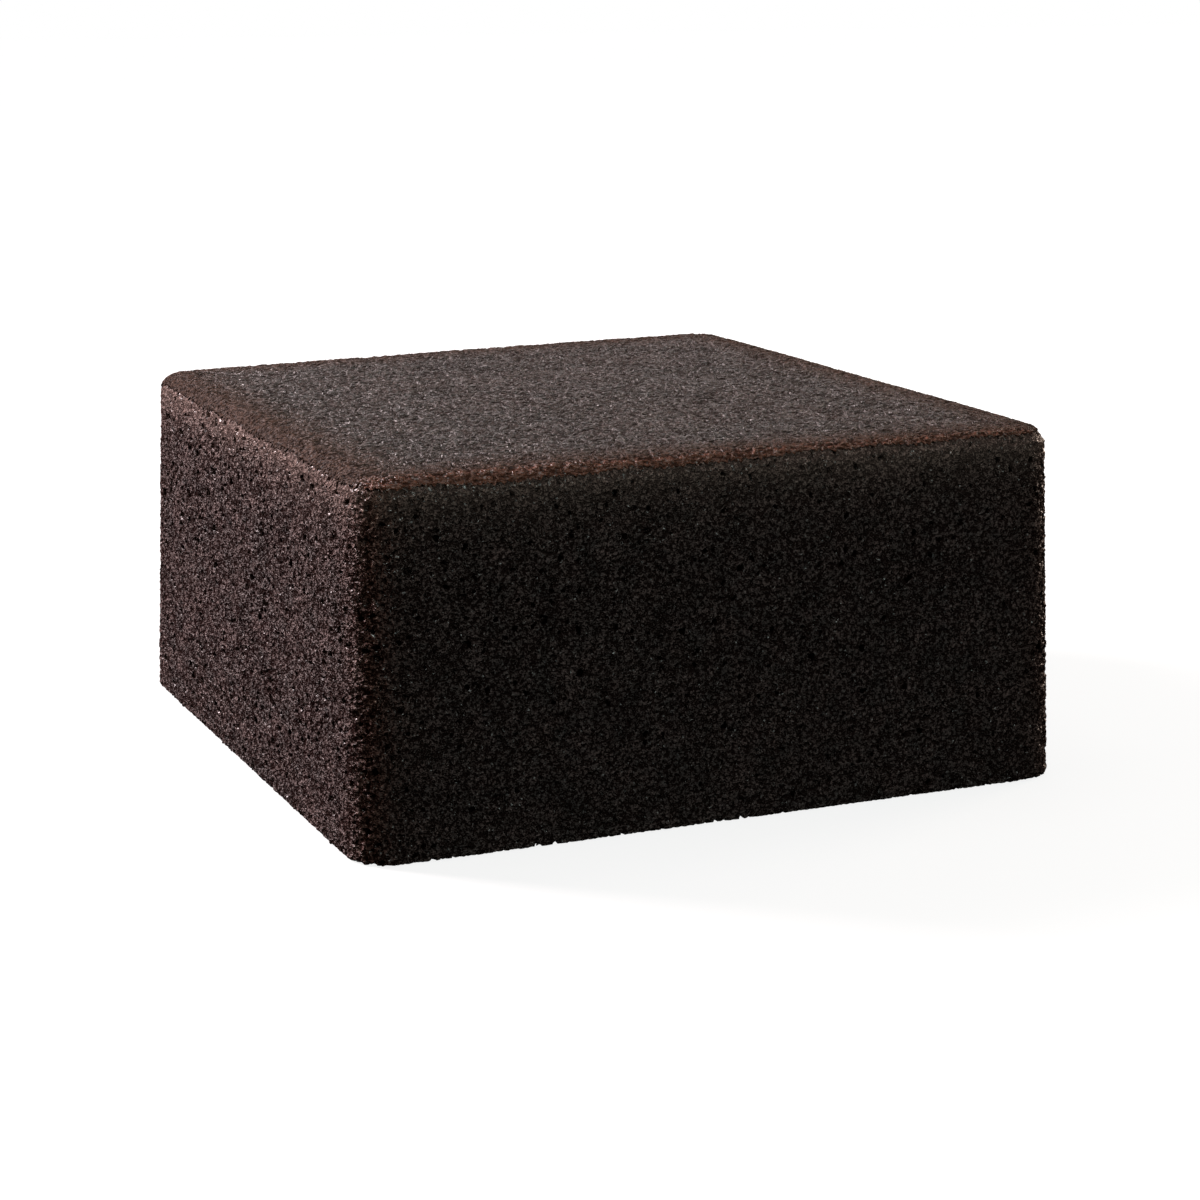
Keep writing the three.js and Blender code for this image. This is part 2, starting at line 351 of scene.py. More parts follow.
def block_surface(round_angle, climb, tilt, reach, skinned):
    """Places on the block, in millimetres, and the way out of it there.

    climb is the height up the wall, tilt the angle over the rounded top edge and reach the share of the
    way from the middle of the top to its edge. skinned is 1 on the skin and 0 on bare crumb.
    """
    round_angle, climb, tilt, reach = np.broadcast_arrays(round_angle, climb, tilt, reach)
    middle, turn, part = station(round_angle)
    inset = TOP_EDGE_RADIUS * (1 - np.cos(tilt))
    radius = UPRIGHT_CORNER_RADIUS - inset
    x = middle[..., 0] * (HALF_WIDTH - UPRIGHT_CORNER_RADIUS) + radius * np.cos(turn)
    y = middle[..., 1] * (HALF_DEPTH - UPRIGHT_CORNER_RADIUS) + radius * np.sin(turn)
    across, along = reach * x / HALF_WIDTH, reach * y / HALF_DEPTH

    height = climb + TOP_EDGE_RADIUS * np.sin(tilt)
    rise = height / HEIGHT
    places = drift_at(across, along, rise)
    places[..., 0] += across * (HALF_WIDTH - WALL_LEAN * rise)
    places[..., 1] += along * (HALF_DEPTH - WALL_LEAN * rise)
    places[..., 2] += height

    near_edge = 1 - smooth_step(0, TOP_SHOULDER_WIDTH, inset + (1 - reach) * HALF_WIDTH)
    out = (1 - skinned) * wall_unevenness(round_angle, part, rise) + skinned * near_edge * SKIN_THICKNESS
    drop = TOP_SHOULDER_DROP * (1 + (across * along) ** SHARPNESS_OF_CORNER_DROP)
    up = (1 - near_edge) * top_unevenness(places[..., 0], places[..., 1]) - near_edge * drop
    outward = np.stack([np.cos(tilt) * np.cos(turn), np.cos(tilt) * np.sin(turn), np.sin(tilt)], -1)
    places += out[..., None] * outward
    places[..., 2] += up * np.sin(tilt)
    return places, outward


def shift_onto_solid():
    """The shift, in millimetres, from the block's own middle to the middle of the solid's box."""
    low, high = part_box(NODE)
    ring = np.linspace(0, 4 * QUARTER, PLAN_STEPS + 1)
    foot, _ = block_surface(ring, 0.0, 0.0, 1.0, 0)
    own = (foot.min(0) + foot.max(0)) / 2
    return np.array([(low.x + high.x) / 2 / MM - own[0], (low.y + high.y) / 2 / MM - own[1], low.z / MM])


SHIFT = shift_onto_solid()


# ---------------------------------------------------------------- meshes from the surface
def grid_faces(rows, columns):
    """The places of a grid, numbered row by row, and the faces between them."""
    grid = np.arange(rows * columns).reshape(rows, columns)
    faces = np.stack([grid[:-1, :-1], grid[:-1, 1:], grid[1:, 1:], grid[1:, :-1]], -1)
    return grid, faces.reshape(-1, 4)


def loop_round(grid):
    """What lies round the edge of a grid, once round to the left as seen from outside."""
    return np.concatenate([grid[0, :-1], grid[:-1, -1], grid[-1, :0:-1], grid[:0:-1, 0]])


def smooth_mesh(name, places, quads, triangles):
    """A smooth mesh of places in millimetres, with its quads first and its triangles after them."""
    corners = np.concatenate([quads.ravel(), triangles.ravel()]).astype(np.int32)
    sizes = np.concatenate([np.full(len(quads), 4), np.full(len(triangles), 3)])
    mesh = bpy.data.meshes.new(name)
    mesh.vertices.add(len(places))
    mesh.vertices.foreach_set("co", ((places + SHIFT) * MM).astype(np.float32).ravel())
    mesh.loops.add(len(corners))
    mesh.loops.foreach_set("vertex_index", corners)
    mesh.polygons.add(len(sizes))
    mesh.polygons.foreach_set("loop_start", (np.cumsum(sizes) - sizes).astype(np.int32))
    mesh.polygons.foreach_set("use_smooth", np.ones(len(sizes), bool))
    mesh.update(calc_edges=True)
    return mesh


def store(mesh, name, values):
    """Keeps a named number, or a vector of three, for each of a mesh's places."""
    kind, field = ("FLOAT_VECTOR", "vector") if values.ndim == 2 else ("FLOAT", "value")
    attribute = mesh.attributes.new(name, kind, "POINT")
    attribute.data.foreach_set(field, values.astype(np.float32).ravel())


def mark_sharp(mesh, rim):
    """Marks the edges along a rim as sharp, so that its shading is not drawn to the faces inside."""
    ends = np.zeros(2 * len(mesh.edges), np.int32)
    mesh.edges.foreach_get("vertices", ends)
    on_rim = np.isin(ends, rim).reshape(-1, 2).all(1)
    mesh.attributes.new("sharp_edge", "BOOLEAN", "EDGE").data.foreach_set("value", on_rim)


def lay_flat(mesh, rows, columns):
    """A map in which the grid fills the square, but for a strip that holds the faces inside the cake."""
    corners = np.zeros(len(mesh.loops), np.int32)
    mesh.loops.foreach_get("vertex_index", corners)
    row, column = np.divmod(np.arange(rows * columns), columns)
    flat = np.zeros((len(mesh.vertices), 2), np.float32)
    flat[: rows * columns, 0] = column / (columns - 1)
    flat[: rows * columns, 1] = row / (rows - 1) * (1 - HIDDEN_STRIP)
    flat[rows * columns :, 0] = np.linspace(0, 1, len(mesh.vertices) - rows * columns)
    flat[rows * columns :, 1] = 1
    uv = flat[corners]
    hidden = 4 * (rows - 1) * (columns - 1)
    in_strip = 1 - STRIP_MARGIN - (1 - 2 * STRIP_MARGIN) * uv[hidden:, 1]
    uv[hidden:, 1] = 1 - HIDDEN_STRIP * in_strip
    mesh.uv_layers.new(name="OFBake").data.foreach_set("uv", uv.ravel())


def closed_sheet(name, places, outward, tip, rims=(), numbers=None):
    """A closed mesh: a grid of places, further rims inside the cake, and a fan to a tip inside it.

    places and outward are rows by columns by 3, with the rows running up and the columns to the right as
    seen from outside. Each of `rims` is one more loop of places, as many as go round the grid. `numbers`
    holds what the mesh brings with it: under each name a number for each place of the grid.
    """
    rows, columns = places.shape[:2]
    grid, faces = grid_faces(rows, columns)
    edge = loop_round(grid)
    points, ways, quads = [places.reshape(-1, 3)], [outward.reshape(-1, 3)], [faces]
    count, ring = rows * columns, edge
    for rim in rims:
        fresh = np.arange(count, count + len(edge))
        quads.append(np.stack([ring, fresh, np.roll(fresh, -1), np.roll(ring, -1)], -1))
        points.append(rim)
        ways.append(np.zeros_like(rim))
        count, ring = count + len(edge), fresh
    points.append(np.array([tip], float))
    ways.append(np.zeros((1, 3)))
    fan = np.stack([ring, np.full(len(ring), count), np.roll(ring, -1)], -1)

    mesh = smooth_mesh(name, np.concatenate(points), np.concatenate(quads), fan)
    mark_sharp(mesh, edge)
    store(mesh, "outward", np.concatenate(ways))
    for number_name, values in (numbers or {}).items():
        inside = np.zeros(count + 1 - values.size)
        store(mesh, number_name, np.concatenate([values.ravel(), inside]))
    lay_flat(mesh, rows, columns)
    return mesh


def panel_mesh(index, panel, panels):
    """Part of a wall, which runs from the middle of one upright corner to the middle of the next."""
    columns = PANEL_COLUMNS[panels]
    share = (panel + np.linspace(0, 1, columns + 1)) / panels
    round_angle = QUARTER * (index + HALF_CORNER + share)
    tuck, tuck_rise = np.array(WALL_TUCK).T
    foot = np.radians(np.linspace(-90, 0, FOOT_ROWS + 1))[:-1]
    climb = np.linspace(FOOT_RADIUS, WALL_TOP, WALL_ROWS[panels] + 1)
    tilt = np.radians(np.linspace(0, WALL_END_ANGLE, EDGE_ROWS[panels] + 1))[1:]

    below = len(tuck) + len(foot)
    foot_heights = FOOT_RADIUS * (1 + np.sin(foot))
    heights = np.concatenate([tuck_rise, foot_heights, climb, np.full(len(tilt), WALL_TOP)])
    tilts = np.concatenate([np.zeros(below + len(climb)), tilt])
    places, outward = block_surface(round_angle[None, :], heights[:, None], tilts[:, None], 1.0, 0)

    past_skin_end = tilts[:, None] - skin_end(round_angle)[None, :]
    under = smooth_step(0.0, UNDER_SKIN_STRETCH, past_skin_end)
    places -= (UNDER_SKIN * under)[..., None] * outward

    insets = np.concatenate([FOOT_RADIUS + tuck, FOOT_RADIUS * (1 - np.cos(foot))])
    places[:below] -= insets[:, None, None] * outward[:below]
    dip = np.concatenate([np.full(len(tuck), -QUARTER), foot])
    outward[:below] *= np.cos(dip)[:, None, None]
    outward[:below, :, 2] = np.sin(dip)[:, None]

    near_top = np.exp((heights - HEIGHT) / TOP_FALL_OFF)
    to_corner = QUARTER_LENGTH * np.minimum(share, 1 - share)
    near_corner = np.exp(-to_corner / CORNER_FALL_OFF)
    numbers = {
        "near_top": np.broadcast_to(near_top[:, None], places.shape[:2]),
        "near_corner": np.broadcast_to(near_corner[None, :], places.shape[:2]),
    }
    middle = places[len(heights) // 2, columns // 2]
    tip = (middle[0] / 2, middle[1] / 2, HEIGHT / 2)
    return closed_sheet("panel", places, outward, tip, numbers=numbers)


def ring_grid(rings):
    """A square grid as rings round its middle: each place's ring number and its angle round the cake."""
    steps = np.arange(-rings, rings + 1)
    right, up = np.meshgrid(steps, steps)
    ring = np.maximum(np.abs(right), np.abs(up))
    size = np.maximum(2 * ring, 1)
    on_sides = [up == -ring, right == ring, up == ring]
    share = np.select(on_sides, [right + ring, up + ring, ring - right], ring - up)
    side = np.select(on_sides, [0, 1, 2], 3)
    return ring, QUARTER * (side + HALF_CORNER + share / size)


def slit_depth(places):
    """How far each place lies in a slit, from 0 on the skin to 1 along a slit's middle."""
    depth = np.zeros(places.shape[:-1])
    along_x, along_y = math.cos(SKIN_LINE), math.sin(SKIN_LINE)
    for x, y, length, arch in SLITS:
        right = (places[..., 0] - x) * along_x + (places[..., 1] - y) * along_y
        ahead = (places[..., 1] - y) * along_x - (places[..., 0] - x) * along_y
        share = 2 * right / length
        across = ahead - arch * (1 - share**2)
        width = SLIT_HALF_WIDTH * np.sqrt(np.clip(SLIT_FADE[1] - share**2, SLIT_THINNEST, 1))
        here = np.clip(1 - np.abs(across) / width, 0, 1) * (1 - smooth_step(*SLIT_FADE, np.abs(share)))
        depth = np.maximum(depth, here)
    return depth


def skin_mesh(right_half, back_half):
    """A quarter of the skin: rings over the flat top, then rings down over its edge to the torn end."""
    rings = SKIN_RINGS + LIP_RINGS
    rows, columns = (slice(half * rings, (half + 1) * rings + 1) for half in (back_half, right_half))
    ring, round_angle = (grid[rows, columns] for grid in ring_grid(rings))
    reach = np.minimum(ring / SKIN_RINGS, 1)
    down = np.clip((ring - SKIN_RINGS) / LIP_RINGS, 0, 1)
    tilt = QUARTER + (skin_end(round_angle) - QUARTER) * down
    places, outward = block_surface(round_angle, WALL_TOP, tilt, reach, 1 - LIP_THINNING * down**2)
    edge, edge_out = (loop_round(grid) for grid in (places, outward))
    under = edge - edge_out * LIP_TUCK + np.array([0, 0, LIP_TUCK_RISE])
    way_in = TOP_EDGE_RADIUS * (1 - np.cos(tilt)) + (1 - reach) * HALF_WIDTH
    numbers = {
        "slit": slit_depth(places[..., :2]),
        "near_edge": 1 - smooth_step(0, EDGE_BROWNING, way_in),
        # how far the way out leans to the front; the skin's material paints light by it
        "rolled": np.clip(-outward[..., 1], 0, 1),
    }
    tip = ((right_half - 0.5) * HALF_WIDTH, (back_half - 0.5) * HALF_WIDTH, HEIGHT - SKIN_TIP)
    return closed_sheet("skin", places, outward, tip, rims=(under,), numbers=numbers)


def base_mesh():
    """The cake's underside, seen from below, with its edge a little inside the feet of the walls."""
    ring, round_angle = ring_grid(BASE_RINGS)
    places, _ = block_surface(round_angle, 0.0, 0.0, ring / BASE_RINGS, 0)
    places *= 1 - BASE_INSET / HALF_WIDTH
    places[..., 2] = BASE_RISE
    outward = np.zeros_like(places)
    outward[..., 2] = -1
    return closed_sheet("base", places[:, ::-1], outward[:, ::-1], (0, 0, BASE_TIP))


def ground_mesh():
    """The walls as a plain sheet, with how thickly loose crumbs lie on each part of them."""
    climb, tilt, thickly = np.array(GROUND_ROWS).T
    round_angle = np.linspace(0, 4 * QUARTER, GROUND_COLUMNS + 1)
    places, _ = block_surface(round_angle[None, :], climb[:, None], np.radians(tilt)[:, None], 1.0, 0)
    grid, faces = grid_faces(*places.shape[:2])
    mesh = bpy.data.meshes.new("ground")
    mesh.from_pydata(((places.reshape(-1, 3) + SHIFT) * MM).tolist(), [], faces.tolist())
    store(mesh, "thickly", np.repeat(thickly, grid.shape[1]))
    return mesh


# ---------------------------------------------------------------- building node trees
FLOAT, VECTOR, COLOUR = "NodeSocketFloat", "NodeSocketVector", "NodeSocketColor"
GEOMETRY, MATERIAL, INT = "NodeSocketGeometry", "NodeSocketMaterial", "NodeSocketInt"


def feed(tree, node, inputs):
    """Gives each named input of a node a value or another node's output."""
    for name, value in inputs.items():
        if isinstance(value, bpy.types.NodeSocket):
            tree.links.new(value, node.inputs[name])
        else:
            node.inputs[name].default_value = value


def add(tree, kind, inputs=None, **settings):
    """One node, with its settings and then its inputs."""
    made = tree.nodes.new(kind)
    for name, value in settings.items():
        setattr(made, name, value)
    feed(tree, made, inputs or {})
    return made


def maths(tree, operation, *values):
    return add(tree, "ShaderNodeMath", dict(enumerate(values)), operation=operation).outputs[0]


def vectors(tree, operation, *values):
    return add(tree, "ShaderNodeVectorMath", dict(enumerate(values)), operation=operation).outputs[0]


def scaled(tree, vector, factor):
    made = add(tree, "ShaderNodeVectorMath", {0: vector, "Scale": factor}, operation="SCALE")
    return made.outputs[0]


def between(tree, value, low, high, to_low=0.0, to_high=1.0, **settings):
    """A value carried from between low and high to between to_low and to_high, and no further."""
    inputs = {"Value": value, "From Min": low, "From Max": high, "To Min": to_low, "To Max": to_high}
    return add(tree, "ShaderNodeMapRange", inputs, **settings).outputs["Result"]


def noise(tree, place, size, detail=0.0, roughness=0.5):
    """Smooth noise whose features measure `size`, around 0.5."""
    inputs = {"Vector": place, "Scale": maths(tree, "DIVIDE", 1.0, size), "Detail": detail}
    inputs["Roughness"] = roughness
    return add(tree, "ShaderNodeTexNoise", inputs, noise_dimensions="3D").outputs


def uneven(tree, place, size, detail=0.0, roughness=0.5):
    """The same noise as a height around nought."""
    return maths(tree, "SUBTRACT", noise(tree, place, size, detail, roughness)["Fac"], 0.5)


def cells(tree, place, size):
    """Irregular cells, `size` from one middle to the next: how far off the nearest middle is, and a draw."""
    inputs = {"Vector": place, "Scale": maths(tree, "DIVIDE", 1.0, size)}
    return add(tree, "ShaderNodeTexVoronoi", inputs).outputs


def warped(tree, place, size, amount):
    """A place pushed about by noise, so that what is drawn on it gets an irregular outline."""
    push = vectors(tree, "SUBTRACT", noise(tree, place, size)["Color"], (0.5, 0.5, 0.5))
    return vectors(tree, "ADD", place, scaled(tree, push, amount))


def drawn_out(tree, place):
    """A place in the crumb's pattern, which is drawn out from the front of the cake to its back."""
    return vectors(tree, "MULTIPLY", place, (1.0, 1.0 / PORE_DRAW_OUT, 1.0))


def crinkled(tree, place):
    """A place in the skin's pattern, which is drawn out along one line and closer down the rounded edge."""
    inputs = {"Vector": place, "Angle": -SKIN_LINE}
    turned = add(tree, "ShaderNodeVectorRotate", inputs, rotation_type="Z_AXIS").outputs[0]
    return vectors(tree, "MULTIPLY", turned, (1.0 / CRINKLE_DRAW_OUT, 1.0, CRINKLE_CLOSENESS))


def new_tree(kind, name, inputs, outputs):
    """An empty node group with named sockets, and its input and output nodes."""
    tree = bpy.data.node_groups.new(name, kind)
    for in_out, sockets in (("INPUT", inputs), ("OUTPUT", outputs)):
        for socket, (socket_type, value) in sockets.items():
            made = tree.interface.new_socket(name=socket, in_out=in_out, socket_type=socket_type)
            if value is not None:
                made.default_value = value
    return tree, tree.nodes.new("NodeGroupInput").outputs, tree.nodes.new("NodeGroupOutput").inputs


# ---------------------------------------------------------------- geometry trees
def geometry_tree(name, sizes):
    """An empty geometry tree, with its sizes as inputs between the geometry and the material."""
    inputs = {"Geometry": (GEOMETRY, None), **sizes, "Material": (MATERIAL, None)}
    return new_tree("GeometryNodeTree", name, inputs, {"Geometry": (GEOMETRY, None)})


def finish(tree, geometry, given, result):
    """Ends a geometry tree: its instances are made real, and it gets its material."""
    real = add(tree, "GeometryNodeRealizeInstances", {"Geometry": geometry}).outputs[0]
    finished = add(tree, "GeometryNodeSetMaterial", {"Geometry": real, "Material": given["Material"]})
    tree.links.new(finished.outputs[0], result["Geometry"])


def position(tree):
    return add(tree, "GeometryNodeInputPosition").outputs[0]


def shifted_position(tree, seed):
    """The position, moved well away for each seed, so that no two seeds give the same pattern."""
    away = add(tree, "ShaderNodeCombineXYZ", {"X": maths(tree, "MULTIPLY", seed, SEED_STRIDE)}).outputs[0]
    return vectors(tree, "ADD", position(tree), away)


def placed(tree, geometry, place):
    """Geometry moved to its new places, but never below the level that the cake stands on."""
    parts = add(tree, "ShaderNodeSeparateXYZ", {0: place}).outputs
    above = {"X": parts["X"], "Y": parts["Y"], "Z": maths(tree, "MAXIMUM", parts["Z"], 0.0)}
    landed = add(tree, "ShaderNodeCombineXYZ", above).outputs[0]
    return add(tree, "GeometryNodeSetPosition", {"Geometry": geometry, "Position": landed}).outputs[0]


def moved_out(tree, geometry, height):
    """Geometry moved out of the cake by a height."""
    outward = add(tree, "GeometryNodeInputNamedAttribute", {"Name": "outward"}, data_type="FLOAT_VECTOR")
    offset = scaled(tree, outward.outputs["Attribute"], height)
    return placed(tree, geometry, vectors(tree, "ADD", position(tree), offset))


def carried(tree, name):
    """A number that the mesh brings with it."""
    made = add(tree, "GeometryNodeInputNamedAttribute", {"Name": name}, data_type="FLOAT")
    return made.outputs["Attribute"]


def with_number(tree, geometry, name, value):
    """Geometry that carries one more number, for its material."""
    inputs = {"Geometry": geometry, "Name": name, "Value": value}
    made = add(tree, "GeometryNodeStoreNamedAttribute", inputs, data_type="FLOAT", domain="POINT")
    return made.outputs[0]


def pores_tree():
    """Round bubbles cut open by a surface: 1 at the bottom of a pore and 0 between the pores."""
    sizes = {
        "Place": (VECTOR, None),
        "Pitch": (FLOAT, 2 * MM),
        "Smallest radius": (FLOAT, 0.3 * MM),
        "Largest radius": (FLOAT, 0.6 * MM),
        "Share of bubbles": (FLOAT, 0.6),
    }
    tree, given, result = new_tree("GeometryNodeTree", "Open pores", sizes, {"Hollow": (FLOAT, None)})
    bubbles = cells(tree, given["Place"], given["Pitch"])
    draw = add(tree, "FunctionNodeSeparateColor", {"Color": bubbles["Color"]}).outputs
    spread = maths(tree, "MULTIPLY", draw["Red"], draw["Red"])
    radius = between(tree, spread, 0.0, 1.0, given["Smallest radius"], given["Largest radius"])
    distance = maths(tree, "MULTIPLY", bubbles["Distance"], given["Pitch"])
    share = maths(tree, "DIVIDE", distance, radius)
    bowl = maths(tree, "MAXIMUM", maths(tree, "SUBTRACT", 1.0, maths(tree, "MULTIPLY", share, share)), 0.0)
    present = maths(tree, "LESS_THAN", draw["Green"], given["Share of bubbles"])
    tree.links.new(maths(tree, "MULTIPLY", maths(tree, "SQRT", bowl), present), result["Hollow"])
    return tree


def pores(tree, open_pores, place, pore_sizes, share):
    pitch, smallest, largest = pore_sizes
    inputs = {"Place": place, "Pitch": pitch, "Smallest radius": smallest, "Largest radius": largest}
    inputs["Share of bubbles"] = share
    return add(tree, "GeometryNodeGroup", inputs, node_tree=open_pores).outputs["Hollow"]


def crumb_tree(open_pores):
    """Bare crumb: a slightly uneven, grainy surface with bubbles of three sizes cut open in it.

    It is finer near the top, and coarser at the upright corners, where gaps open between its lumps.
    """
    sizes = {
        "Unevenness": (FLOAT, 0.25 * MM),
        "Grain height": (FLOAT, 0.75 * MM),
        "Large pore depth": (FLOAT, 2.0 * MM),
        "Middle pore depth": (FLOAT, 1.5 * MM),
        "Fine pore depth": (FLOAT, 0.75 * MM),
        "Share of large pores": (FLOAT, 0.45),
        "Gap depth at corners": (FLOAT, 0.7 * MM),
        "Seed": (INT, 1),
    }
    tree, given, result = geometry_tree("Pored crumb", sizes)
    place = drawn_out(tree, shifted_position(tree, given["Seed"]))
    wobbly = warped(tree, place, *PORE_WOBBLE)
    near_corner = carried(tree, "near_corner")
    finer = maths(tree, "MULTIPLY", carried(tree, "near_top"), FINER_AT_TOP)
    coarser = maths(tree, "MULTIPLY", near_corner, COARSER_AT_CORNERS)
    coarse = maths(tree, "SUBTRACT", maths(tree, "ADD", 1.0, coarser), finer)

    swell = maths(tree, "MULTIPLY", uneven(tree, place, CRUMB_SWELL_SIZE, 2.0), given["Unevenness"])
    grain_height = maths(tree, "MULTIPLY", coarse, given["Grain height"])
    grain = maths(tree, "MULTIPLY", uneven(tree, place, CRUMB_GRAIN_SIZE, 1.0), grain_height)
    height = maths(tree, "ADD", swell, grain)

    large = pores(tree, open_pores, wobbly, LARGE_PORES, given["Share of large pores"])
    middle = pores(tree, open_pores, wobbly, MIDDLE_PORES, SHARE_OF_MIDDLE_PORES)
    fine = pores(tree, open_pores, wobbly, FINE_PORES, SHARE_OF_FINE_PORES)
    large_depth = maths(tree, "MULTIPLY", large, given["Large pore depth"])
    middle_depth = maths(tree, "MULTIPLY", middle, given["Middle pore depth"])
    fine_depth = maths(tree, "MULTIPLY", fine, given["Fine pore depth"])
    small_depth = maths(tree, "MULTIPLY", maths(tree, "MAXIMUM", middle_depth, fine_depth), coarse)
    depth = maths(tree, "MAXIMUM", large_depth, small_depth)

    parted = between(tree, cells(tree, wobbly, LUMP_SIZE)["Distance"], *LUMP_EDGE)
    gap_depth = maths(tree, "MULTIPLY", near_corner, given["Gap depth at corners"])
    depth = maths(tree, "MAXIMUM", depth, maths(tree, "MULTIPLY", parted, gap_depth))
    depth = maths(tree, "SUBTRACT", depth, height)
    geometry = moved_out(tree, given["Geometry"], maths(tree, "MULTIPLY", depth, -1.0))
    geometry = with_number(tree, geometry, "hollow", maths(tree, "DIVIDE", depth, 1 * MM))
    finish(tree, geometry, given, result)
    return tree


def skin_tree():
    """The skin: low wrinkles and finer crinkles, and the slits that the sheet brings with it."""
    sizes = {
        "Wrinkle height": (FLOAT, 0.35 * MM),
        "Crinkle height": (FLOAT, 0.35 * MM),
        "Slit depth": (FLOAT, 1.1 * MM),
        "Seed": (INT, 3),
    }
    tree, given, result = geometry_tree("Wrinkled skin", sizes)
    place = shifted_position(tree, given["Seed"])
    wrinkles = uneven(tree, place, WRINKLE_SIZE, 2.0, 0.6)
    wobbly = warped(tree, crinkled(tree, place), *FOLD_WOBBLE)
    fold = uneven(tree, wobbly, FOLD_SIZE, 1.0)
    ridge = between(tree, maths(tree, "ABSOLUTE", fold), 0.0, FOLD_WIDTH, *FOLD_HEIGHTS)
    grain = uneven(tree, wobbly, FOLD_GRAIN_SIZE, 1.0)
    crinkles = maths(tree, "ADD", ridge, maths(tree, "MULTIPLY", grain, FOLD_GRAIN))
    wrinkle_height = maths(tree, "MULTIPLY", wrinkles, given["Wrinkle height"])
    crinkle_height = maths(tree, "MULTIPLY", crinkles, given["Crinkle height"])
    slit = maths(tree, "MULTIPLY", carried(tree, "slit"), given["Slit depth"])
    height = maths(tree, "SUBTRACT", maths(tree, "ADD", wrinkle_height, crinkle_height), slit)
    geometry = moved_out(tree, given["Geometry"], height)
    geometry = with_number(tree, geometry, "crinkle", crinkles)
    finish(tree, geometry, given, result)
    return tree


def loose_crumb_tree():
    """Loose crumbs: small lumps scattered on a ground, thick where its `thickly` is high."""
    sizes = {
        "Crumbs per square metre": (FLOAT, 60000.0),
        "Smallest radius": (FLOAT, 0.22 * MM),
        "Largest radius": (FLOAT, 0.62 * MM),
        "Lumpiness": (FLOAT, 0.35 * MM),
        "Seed": (INT, 5),
    }
    tree, given, result = geometry_tree("Loose crumbs", sizes)
    seed = given["Seed"]
    density = maths(tree, "MULTIPLY", carried(tree, "thickly"), given["Crumbs per square metre"])
    inputs = {"Mesh": given["Geometry"], "Density": density, "Seed": seed}
    scattered = add(tree, "GeometryNodeDistributePointsOnFaces", inputs, distribute_method="RANDOM")
    lump = add(tree, "GeometryNodeMeshIcoSphere", {"Radius": 1.0, "Subdivisions": 2}).outputs["Mesh"]
    draw = add(tree, "FunctionNodeRandomValue", {"Seed": seed}, data_type="FLOAT").outputs[1]
    spread = maths(tree, "POWER", draw, LOOSE_CRUMBS_SMALL)
    radius = between(tree, spread, 0.0, 1.0, given["Smallest radius"], given["Largest radius"])
    turns = {"Min": (0.0, 0.0, 0.0), "Max": (2 * math.pi,) * 3, "Seed": seed}
    turn = add(tree, "FunctionNodeRandomValue", turns, data_type="FLOAT_VECTOR").outputs[0]
    inputs = {"Points": scattered.outputs["Points"], "Instance": lump, "Scale": radius, "Rotation": turn}
    lumps = add(tree, "GeometryNodeInstanceOnPoints", inputs).outputs[0]
    real = add(tree, "GeometryNodeRealizeInstances", {"Geometry": lumps}).outputs[0]
    rough = placed(tree, real, warped(tree, position(tree), LOOSE_LUMP_SIZE, given["Lumpiness"]))
    finish(tree, rough, given, result)
    return tree


def made_by(tree, mesh, name, inputs):
    """The plain object that a geometry tree makes of a mesh, with the tree's named inputs set first."""
    block = bpy.data.objects.new(name + "_block", mesh)
    bpy.context.scene.collection.objects.link(block)
    modifier = block.modifiers.new("surface", "NODES")
    modifier.node_group = tree
    for socket in tree.interface.items_tree:
        if socket.in_out == "INPUT" and socket.name in inputs:
            modifier[socket.identifier] = inputs[socket.name]
    graph = bpy.context.evaluated_depsgraph_get()
    made = bpy.data.meshes.new_from_object(
        block.evaluated_get(graph), preserve_all_data_layers=True, depsgraph=graph
    )
    bpy.data.objects.remove(block)
    bpy.data.meshes.remove(mesh)
    made.name = name
    for spent in ("outward", "thickly"):
        if spent in made.attributes:
            made.attributes.remove(made.attributes[spent])
    piece = bpy.data.objects.new(name, made)
    bpy.context.scene.collection.objects.link(piece)
    return piece


# ---------------------------------------------------------------- materials
def specks_group():
    """Small scattered specks, as where moist crumb glints."""
    inputs = {"Place": (VECTOR, None), "Size": (FLOAT, 0.8 * MM), "Share": (FLOAT, 0.3)}
    tree, given, result = new_tree("ShaderNodeTree", "Moist specks", inputs, {"Mask": (FLOAT, None)})
    fac = noise(tree, given["Place"], given["Size"], 1.0)["Fac"]
    fewest, most = SPECK_THRESHOLD
    drop = maths(tree, "MULTIPLY", given["Share"], fewest - most)
    threshold = maths(tree, "SUBTRACT", fewest, drop)
    mask = between(tree, fac, threshold, maths(tree, "ADD", threshold, SPECK_SOFTNESS))
    tree.links.new(mask, result["Mask"])
    return tree


def patches_group():
    """Broad, soft patches of two shades."""
    inputs = {
        "Place": (VECTOR, None),
        "Size": (FLOAT, 20 * MM),
        "Dark": (COLOUR, (0.02, 0.01, 0.008, 1)),
        "Light": (COLOUR, (0.04, 0.02, 0.015, 1)),
    }
    tree, given, result = new_tree("ShaderNodeTree", "Baked patches", inputs, {"Color": (COLOUR, None)})
    fac = between(tree, noise(tree, given["Place"], given["Size"], 3.0)["Fac"], *NOISE_SPAN)
    tree.links.new(colour_mix(tree, fac, given["Dark"], given["Light"]), result["Color"])
    return tree


def colour_mix(tree, fac, first, second):
    return add(tree, "ShaderNodeMix", {0: fac, 6: first, 7: second}, data_type="RGBA").outputs[2]


def group(tree, node_tree, inputs):
    return add(tree, "ShaderNodeGroup", inputs, node_tree=node_tree).outputs


def number(tree, name):
    """A number that the piece carries."""
    return add(tree, "ShaderNodeAttribute", attribute_name=name).outputs["Fac"]


